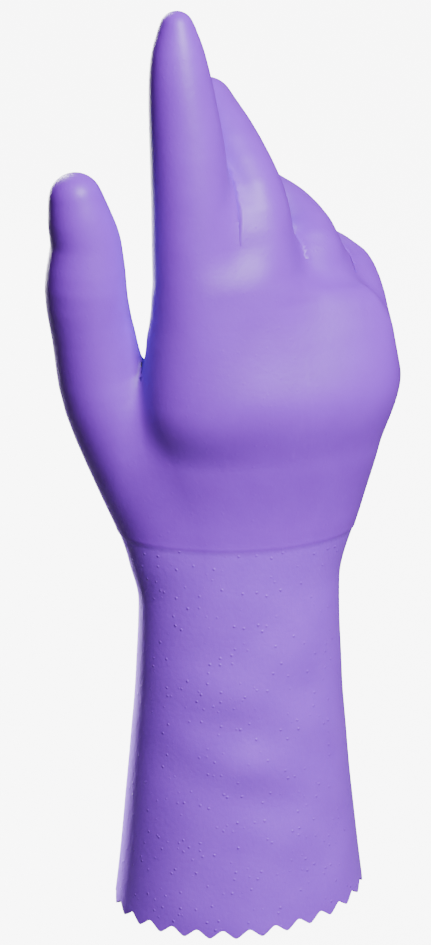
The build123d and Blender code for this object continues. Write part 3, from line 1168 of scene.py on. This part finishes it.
@dataclass(frozen=True)
class RubberFinish:
    """The look of the dipped rubber: the pale base coat and the deeper second coat over the hand."""

    base: Point = (0.28, 0.043, 0.83)
    base_light: Point = (0.31, 0.052, 0.89)
    second: Point = (0.24, 0.026, 0.70)
    second_light: Point = (0.265, 0.032, 0.77)
    base_roughness: float = 0.50
    second_roughness: float = 0.47
    pimple_size: float = 3.2
    pimple_height: float = 0.24
    peel_size: float = 1.7
    peel_height: float = 0.10

    def material(self) -> bpy.types.Material:
        """Returns: the material. The mesh's coat attribute says which coat shows."""
        paint = Paint("purple_rubber")
        place = paint.attribute("rest_place", "Vector")
        coat = paint.attribute("coat", "Fac")
        cloud = paint.noise(place, 16.0, 3.0)
        share = paint.math("MULTIPLY_ADD", cloud, 2.4, -0.7, clamp=True)
        base = paint.mixed(share, self.base, self.base_light)
        second = paint.mixed(share, self.second, self.second_light)
        colour = paint.mixed(coat, base, second)
        plain = 1.0 - coat * 0.85
        pimples = paint.pimples(place, self.pimple_size, 0.21) * plain
        peel = paint.noise(place, self.peel_size, 2.0) * (1.0 - coat * 0.45)
        fine = paint.noise(place, 0.5, 1.0) * 0.15
        height = pimples + (peel + fine) * (self.peel_height / self.pimple_height)
        smudge = paint.noise(place, 9.0, 2.0) - 0.5
        roughness = self.base_roughness + coat * (self.second_roughness - self.base_roughness)
        inputs = {
            "Base Color": colour,
            "Roughness": roughness + smudge * 0.10,
            "Normal": paint.bump(height, self.pimple_height),
            "Specular IOR Level": 0.42,
            "Subsurface Weight": 0.05,
            "Subsurface Radius": (1.0, 0.6, 1.0),
            "Subsurface Scale": 0.0012,
        }
        return paint.surface(inputs)


@dataclass(frozen=True)
class KnitFinish:
    """The look of the knitted cotton lining: pale columns of stitches, with painted shade in the hollows
    between the loops.
    """

    light: Point = linear(232, 226, 240)
    # The colour in the hollows between the loops: painted shade over the yarn's pale tone.
    hollow_shade: Point = linear(196, 186, 216)
    stitch_width: float = 1.3
    stitch_height: float = 0.9
    relief: float = 0.35

    def material(self) -> bpy.types.Material:
        """The stitches.

        A place's angle about the glove's upright line, times a mean radius, counts the columns;
        its height, shifted by how far it is across its column, counts the rows of slanted loops.

        Returns:
            The material.
        """
        paint = Paint("cotton_knit")
        place = paint.attribute("rest_place", "Vector")
        x, y, z = paint.split(place)
        turn = paint.math("ARCTAN2", y, x) * (38.0 / self.stitch_width)
        across = paint.math("PINGPONG", turn, 1.0)
        rows = z / (self.stitch_height * MM) + across * 0.9
        loop = paint.math("SINE", rows * (2 * math.pi)) * 0.5 + 0.5
        column = paint.math("SINE", across * math.pi)
        height = loop * 0.6 + column * 0.7
        fuzz = paint.noise(place, 0.6, 3.0)
        # The yarn's pale tone turns darker where the stitch height is low: painted shade in the hollows
        # between the loops.
        share = paint.math("MULTIPLY_ADD", height, 0.6, 0.05, clamp=True)
        inputs = {
            "Base Color": paint.mixed(share, self.hollow_shade, self.light),
            "Roughness": 0.82 + fuzz * 0.12,
            "Normal": paint.bump(height + fuzz * 0.5, self.relief),
            "Sheen Weight": 0.25,
            "Sheen Roughness": 0.6,
        }
        return paint.surface(inputs)


@dataclass(frozen=True)
class FloorFinish:
    """The look of the pale floor."""

    colour: Point = (0.12, 0.12, 0.12)
    glow: float = 8.0

    def material(self) -> bpy.types.Material:
        """Returns: the material."""
        paint = Paint("floor")
        place = Term(paint, paint.put("ShaderNodeTexCoord", {}, {}).outputs["Object"])
        grain = paint.noise(place, 3.0, 2.0)
        path = paint.put("ShaderNodeLightPath", {}, {})
        seen = Term(paint, path.outputs["Is Camera Ray"])
        inputs = {
            "Base Color": (*self.colour, 1.0),
            "Roughness": 0.75 + grain * 0.1,
            "Specular IOR Level": 0.2,
            "Emission Color": paint.mixed(seen, (0.0, 0.0, 0.0), (1.0, 1.0, 1.0)),
            "Emission Strength": self.glow,
        }
        return paint.surface(inputs)


# ---------------------------------------------------------------------------------------------
# The glove
# ---------------------------------------------------------------------------------------------


@dataclass
class Piece:
    """One piece of the glove: a wall of rubber or of lining, and how it hangs on the frame."""

    name: str
    ply: Ply
    skin: Skin
    bodies: tuple[str, ...]
    stands_for: tuple[str, ...]
    slot: str
    start: Point | None = None
    end: Point | None = None

    def place(self, form: Form, material: bpy.types.Material) -> bpy.types.Object:
        """Makes the object, and ties it to its body when it has one; a piece between two bodies is left where
        it is.

        Args:
            form: the glove's form.
            material: the piece's finish.

        Returns:
            The object.
        """
        obj = self.skin.to_object(self.name, form)
        obj.data.materials.append(material)
        if len(self.bodies) == 1:
            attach(obj, self.bodies[0])
        else:
            start = tuple(v * MM for v in self.start)
            end = tuple(v * MM for v in self.end)
            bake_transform(obj)
        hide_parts(*self.stands_for)
        return obj


class Glove:
    """The whole glove: the cuff, the palm, the knuckles, four fingers and the thumb's two parts."""

    WRIST_REACH = 16.0
    KNUCKLE_REACH = 11.0
    KNUCKLE_TILT = math.radians(15.0)
    TIP_REACH = 7.0
    TIP_BALL = 4

    def __init__(self, form: Form, tip_bend: Array) -> None:
        """Args: form: the glove's form. tip_bend: where the thumb's tip bends, in millimetres."""
        self.form = form
        self.tip_bend = tip_bend
        self.pieces: list[Piece] = []

    def add(
        self,
        name: str,
        builder: "CuffBuilder | DigitBuilder | SheetBuilder",
        bodies: tuple[str, ...],
        nodes: tuple[str, ...],
        knit_node: str,
        slot: str,
        start: Point | None = None,
        end: Point | None = None,
    ) -> None:
        """Adds the rubber and the lining of one part of the glove.

        Args:
            name: the part's name.
            builder: makes its walls.
            bodies: the body it rides on, or the two whose joint it spans.
            nodes: the nodes that its rubber stands for.
            knit_node: the node that its lining stands for.
            slot: the rubber's material slot; it is kept with the piece but not used.
            start: where its bend zone starts; it is kept with the piece but not used.
            end: where its bend zone stops; it is kept with the piece but not used.
        """
        coats = builder.build(Ply.COATS)
        self.pieces.append(Piece(f"{name}_skin", Ply.COATS, coats, bodies, nodes, slot, start, end))
        knit = builder.build(Ply.LINER)
        self.pieces.append(Piece(f"{name}_knit", Ply.LINER, knit, bodies, (knit_node,), "liner", start, end))
        LOG.info("%s: %d and %d faces", name, len(coats.faces), len(knit.faces))

    def build(self) -> None:
        """Makes every piece, from the rim up."""
        form = self.form
        self.add("cuff", CuffBuilder(form), ("cuff",), ("cuff_base_coat",), "cuff_liner", "base_coat")
        across = np.array([math.sin(self.KNUCKLE_TILT), 0.0, math.cos(self.KNUCKLE_TILT)])
        low_knuckle = Plane(tuple(form.knuckles - across * self.KNUCKLE_REACH), tuple(across))
        high_knuckle = tuple(form.knuckles + across * self.KNUCKLE_REACH)
        self.add_palm(low_knuckle)
        self.add_knuckles(low_knuckle, high_knuckle)
        for name in FINGER_NAMES:
            self.add_finger(name)
        self.add_thumb()

    def add_thumb(self) -> None:
        """Makes the thumb's lower part and its tip."""
        form = self.form
        digit = form.thumb
        run = unit(digit.centres[self.TIP_BALL + 1] - digit.centres[self.TIP_BALL - 1])
        tip_start = Plane(tuple(self.tip_bend - run * self.TIP_REACH), tuple(run))
        tip_end = tuple(self.tip_bend + run * self.TIP_REACH)
        start = form.starts["thumb"]
        rubber = ("thumb_root_bend_zone", "thumb_second_coat", "thumb_base_coat")
        builder = DigitBuilder(form.shaped(form.thumb_alone), digit, start, tip_start)
        place = {"start": start.point, "end": form.ends["thumb"].point}
        self.add("thumb", builder, ("palm", "thumb"), rubber, "thumb_liner", "second_coat", **place)
        rubber = ("thumb_tip_bend_zone", "thumb_tip_second_coat", "thumb_tip_base_coat")
        builder = DigitBuilder(form.shaped(digit.field), digit, tip_start)
        place = {"start": tip_start.point, "end": tip_end}
        bodies = ("thumb", "thumb_tip")
        self.add("thumb_tip", builder, bodies, rubber, "thumb_tip_liner", "second_coat", **place)

    def add_palm(self, low_knuckle: Plane) -> None:
        """Args: low_knuckle: where the palm's skin ends. The wrist's bend zone lies within it."""
        form = self.form
        wrist = form.wrist
        low_wrist = Plane((0.0, 0.0, wrist[2] - self.WRIST_REACH), (0.0, 0.0, -1.0))
        cuts = [Cut(low_wrist), Cut(form.starts["thumb"], 1), Cut(low_knuckle, 0)]
        low = (-78.0, -44.0, wrist[2] - 26.0)
        high = (74.0, 44.0, form.thumb.bend[2] + 4.0)
        builder = SheetBuilder(form.shaped(form.hand), form.on_thumb, low, high, cuts)
        rubber = ("wrist_bend_zone", "palm_second_coat", "palm_base_coat")
        start = (wrist[0], wrist[1], wrist[2] - self.WRIST_REACH)
        end = (wrist[0], wrist[1], wrist[2] + self.WRIST_REACH)
        self.add("palm", builder, ("cuff", "palm"), rubber, "palm_liner", "second_coat", start, end)

    def add_knuckles(self, low: Plane, high: Point) -> None:
        """Args: low: where the knuckles' skin starts. high: the far end of its bend zone."""
        form = self.form
        cuts = [Cut(Plane(low.point, tuple(-v for v in low.facing)))]
        cuts += [Cut(form.starts[name], index) for index, name in enumerate(FINGER_NAMES)]
        corner = (-50.0, -44.0, form.knuckles[2] - 34.0)
        top = (70.0, 52.0, form.fingers["index"].bend[2] + 6.0)
        facing = form.shaped(form.knuckles_plain)
        field = form.shaped(form.knuckles_alone)
        builder = SheetBuilder(field, form.nearest_finger, corner, top, cuts, facing)
        rubber = ("knuckle_bend_zone", "finger_roots_second_coat", "finger_roots_base_coat")
        place = {"start": low.point, "end": high}
        bodies = ("palm", "finger_roots")
        self.add("knuckles", builder, bodies, rubber, "finger_roots_liner", "second_coat", **place)

    def add_finger(self, name: str) -> None:
        """Args: name: the finger to make."""
        form = self.form
        start = form.starts[name]
        builder = DigitBuilder(form.shaped(form.finger_alone(name)), form.fingers[name], start)
        rubber = (f"{name}_bend_zone", f"{name}_second_coat", f"{name}_base_coat")
        place = {"start": start.point, "end": form.ends[name].point}
        bodies = ("finger_roots", name)
        self.add(name, builder, bodies, rubber, f"{name}_liner", "second_coat", **place)

    def show(self) -> list[bpy.types.Object]:
        """Returns: the glove's objects, placed and finished."""
        rubber = RubberFinish().material()
        knit = KnitFinish().material()
        finish = {Ply.COATS: rubber, Ply.LINER: knit}
        return [piece.place(self.form, finish[piece.ply]) for piece in self.pieces]


# ---------------------------------------------------------------------------------------------
# The studio
# ---------------------------------------------------------------------------------------------


@dataclass(frozen=True)
class Lamp:
    """A soft lamp.

    It lies a way from the glove in degrees, at a distance and of a size in metres, with a power in
    watts. It points at a height above the floor, and its beam opens by a spread in degrees.
    """

    name: str
    azimuth: float
    elevation: float
    distance: float
    width: float
    height: float
    power: float
    aim: float = 0.162
    spread: float = 180.0


LAMPS = (
    Lamp("key", 20.0, 44.0, 1.3, 0.50, 0.50, 37.0),
    Lamp("rim", -168.0, 12.0, 1.0, 0.16, 1.20, 26.0),
    Lamp("edge", -161.0, 2.0, 0.8, 0.10, 0.16, 0.8, aim=0.065, spread=24.0),
)


def direction(azimuth: float, elevation: float) -> Vector:
    """Args: azimuth, elevation: in degrees. Returns: the way to a viewer there."""
    a = math.radians(azimuth)
    e = math.radians(elevation)
    return Vector((math.sin(a) * math.cos(e), -math.cos(a) * math.cos(e), math.sin(e)))


class Studio:
    """The floor, the light and the camera."""

    AIM = (-0.0086, 0.0018, 0.162)
    AZIMUTH = -12.0
    ELEVATION = 20.0
    DISTANCE = 0.900
    LENS = 99.67
    BRIGHT_SIDE = (0.78, 0.35, 0.52)
    BACK_LIGHT = 0.12
    FRONT_LIGHT = 0.015
    SEEN_LIGHT = 9.0

    def build(self) -> None:
        """Makes the stage."""
        self.floor()
        self.world()
        for lamp in LAMPS:
            self.lamp(lamp)
        self.camera()

    def floor(self) -> None:
        """Makes the pale floor, which isn't part of the glove."""
        mesh = bpy.data.meshes.new("floor")
        corners = [(-6, -6, 0), (6, -6, 0), (6, 6, 0), (-6, 6, 0)]
        mesh.from_pydata(corners, [], [(0, 1, 2, 3)])
        mesh.materials.append(FloorFinish().material())
        floor = bpy.data.objects.new("floor", mesh)
        bpy.context.scene.collection.objects.link(floor)

    def world(self) -> None:
        """Makes a sky that is brighter to the right of the glove than to the left."""
        world = bpy.data.worlds.new("studio")
        bpy.context.scene.world = world
        world.use_nodes = True
        tree = world.node_tree
        tree.nodes.clear()
        place = tree.nodes.new("ShaderNodeTexCoord")
        toward = tree.nodes.new("ShaderNodeVectorMath")
        toward.operation = "DOT_PRODUCT"
        toward.inputs[1].default_value = self.BRIGHT_SIDE
        level = tree.nodes.new("ShaderNodeMapRange")
        light = tree.nodes.new("ShaderNodeBackground")
        output = tree.nodes.new("ShaderNodeOutputWorld")
        level.interpolation_type = "SMOOTHSTEP"
        level.inputs["From Min"].default_value = -0.5
        level.inputs["From Max"].default_value = 0.6
        level.inputs["To Min"].default_value = self.FRONT_LIGHT
        level.inputs["To Max"].default_value = self.BACK_LIGHT
        tree.links.new(place.outputs["Generated"], toward.inputs[0])
        tree.links.new(toward.outputs["Value"], level.inputs["Value"])
        path = tree.nodes.new("ShaderNodeLightPath")
        seen = tree.nodes.new("ShaderNodeMix")
        seen.inputs["B"].default_value = self.SEEN_LIGHT
        tree.links.new(path.outputs["Is Camera Ray"], seen.inputs["Factor"])
        tree.links.new(level.outputs[0], seen.inputs["A"])
        tree.links.new(seen.outputs[0], light.inputs["Strength"])
        tree.links.new(light.outputs[0], output.inputs["Surface"])

    def lamp(self, lamp: Lamp) -> None:
        """Args: lamp: the lamp to hang."""
        data = bpy.data.lights.new(lamp.name, "AREA")
        data.shape = "RECTANGLE"
        data.size = lamp.width
        data.size_y = lamp.height
        data.energy = lamp.power
        data.spread = math.radians(lamp.spread)
        obj = bpy.data.objects.new(lamp.name, data)
        aim = Vector((self.AIM[0], self.AIM[1], lamp.aim))
        self.hang(obj, aim, direction(lamp.azimuth, lamp.elevation), lamp.distance)

    def camera(self) -> None:
        """Makes the camera and uses it."""
        data = bpy.data.cameras.new("camera")
        data.lens = self.LENS
        data.clip_start = 0.05
        data.clip_end = 50.0
        camera = bpy.data.objects.new("camera", data)
        self.hang(camera, Vector(self.AIM), direction(self.AZIMUTH, self.ELEVATION), self.DISTANCE)
        bpy.context.scene.camera = camera

    def hang(self, obj: bpy.types.Object, aim: Vector, back: Vector, distance: float) -> None:
        """Puts a lamp or the camera in the studio, looking at a place.

        Args:
            obj: the lamp or camera.
            aim: the place it looks at, in metres.
            back: the way from there to it.
            distance: how far off it is, in metres.
        """
        obj.location = aim + back * distance
        obj.rotation_mode = "QUATERNION"
        obj.rotation_quaternion = back.to_track_quat("Z", "Y")
        bpy.context.scene.collection.objects.link(obj)


def main() -> None:
    """Builds the glove on its frame, and the studio round it."""
    logging.basicConfig(level=logging.INFO, format="%(message)s")
    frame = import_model()
    form = Form(frame["joints"])
    bends = {joint["name"]: np.array(joint["pos_m"]) / MM for joint in frame["joints"]}
    glove = Glove(form, bends["thumb_tip_flex"])
    glove.build()
    glove.show()
    Studio().build()


if __name__ == "__main__":
    main()
